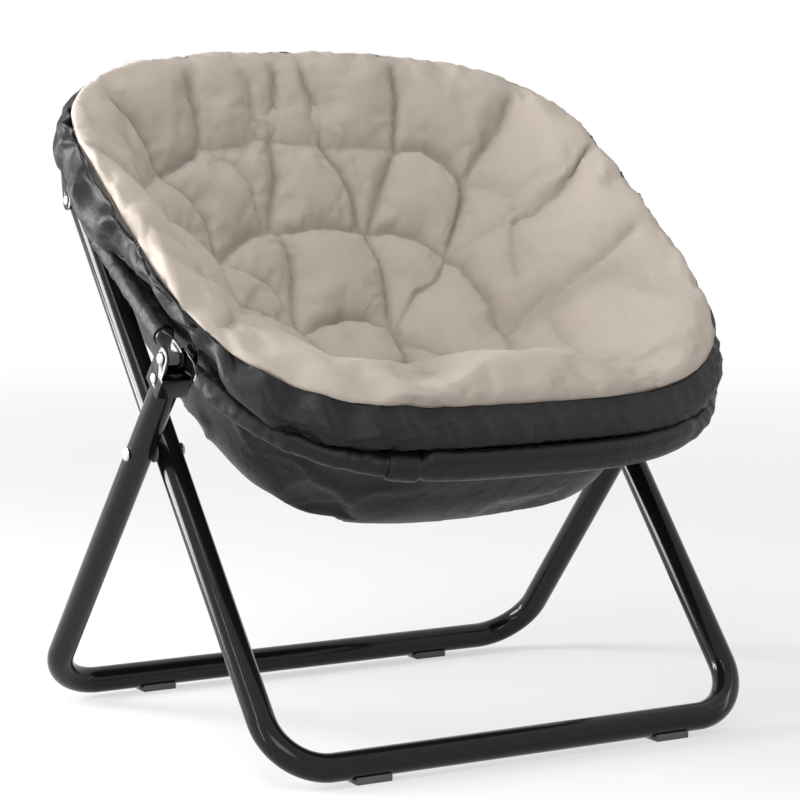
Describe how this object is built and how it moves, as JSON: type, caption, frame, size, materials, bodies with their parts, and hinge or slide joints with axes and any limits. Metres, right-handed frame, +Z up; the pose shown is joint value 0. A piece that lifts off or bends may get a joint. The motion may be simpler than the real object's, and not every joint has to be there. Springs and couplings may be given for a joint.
{
  "type": "folding saucer chair",
  "caption": "Folding saucer chair: a tufted bowl seat with a satin back on a hinged hoop, carried by crossed tubular U legs.",
  "frame": {"origin": "middle of the bounding box's bottom face, on the floor under the seat", "axes": "+Z up, the chair faces -Y, +X to the right of someone looking at its front"},
  "size_m": [0.7308, 0.6056, 0.7962],
  "materials": {
    "black_paint": "gloss",
    "zinc_steel": "satin",
    "black_plastic": "matte",
    "satin_cloth": "satin",
    "taupe_cloth": "matte"
  },
  "bodies": {
    "rear_leg": {"rear_leg_tube": "black_paint", "hoop_bracket_left": "black_paint", "hoop_bracket_right": "black_paint", "bracket_rivet_left": "zinc_steel", "bracket_rivet_right": "zinc_steel", "leg_pivot_rivet_left": "zinc_steel", "leg_pivot_rivet_right": "zinc_steel", "leg_spacer_left": "black_plastic", "leg_spacer_right": "black_plastic", "hinge_bolt_left": "zinc_steel", "hinge_bolt_right": "zinc_steel", "hinge_nut_left": "zinc_steel", "hinge_nut_right": "zinc_steel", "hinge_spacer_left": "black_plastic", "hinge_spacer_right": "black_plastic", "rear_foot_pad_left": "black_plastic", "rear_foot_pad_right": "black_plastic"},
    "front_leg": {"front_leg_tube": "black_paint", "hoop_rest_left": "black_paint", "hoop_rest_right": "black_paint", "rest_rivet_left": "zinc_steel", "rest_rivet_right": "zinc_steel", "front_foot_pad_left": "black_plastic", "front_foot_pad_right": "black_plastic"},
    "rear_seat": {"rear_hoop_tube": "black_paint", "rear_hoop_sleeve": "satin_cloth", "rear_backing": "satin_cloth", "rear_cushion": "taupe_cloth"},
    "front_seat": {"front_hoop_tube": "black_paint", "front_hoop_sleeve": "satin_cloth", "front_backing": "satin_cloth", "front_cushion": "taupe_cloth"}
  },
  "joints": [
    {"name": "leg_fold", "type": "hinge", "parent": "rear_leg", "child": "front_leg", "pos_m": [0, 0.00018, 0.3382], "axis": [1, 0, 0], "range_deg": [0, 66]},
    {"name": "rear_seat_fold", "type": "hinge", "parent": "rear_leg", "child": "rear_seat", "pos_m": [0, -0.09891, 0.45346], "axis": [1, 0, 0], "range_deg": [0, 84]},
    {"name": "front_seat_fold", "type": "hinge", "parent": "rear_seat", "child": "front_seat", "pos_m": [0, -0.09891, 0.45346], "axis": [1, 0, 0], "range_deg": [-146, 0], "deforming": ["front_backing", "rear_backing", "front_cushion", "rear_cushion"]}
  ],
  "couplings": [
    {"joint": "rear_seat_fold", "follows": "leg_fold", "ratio": 1.2727},
    {"joint": "front_seat_fold", "follows": "leg_fold", "ratio": -2.2121}
  ]
}
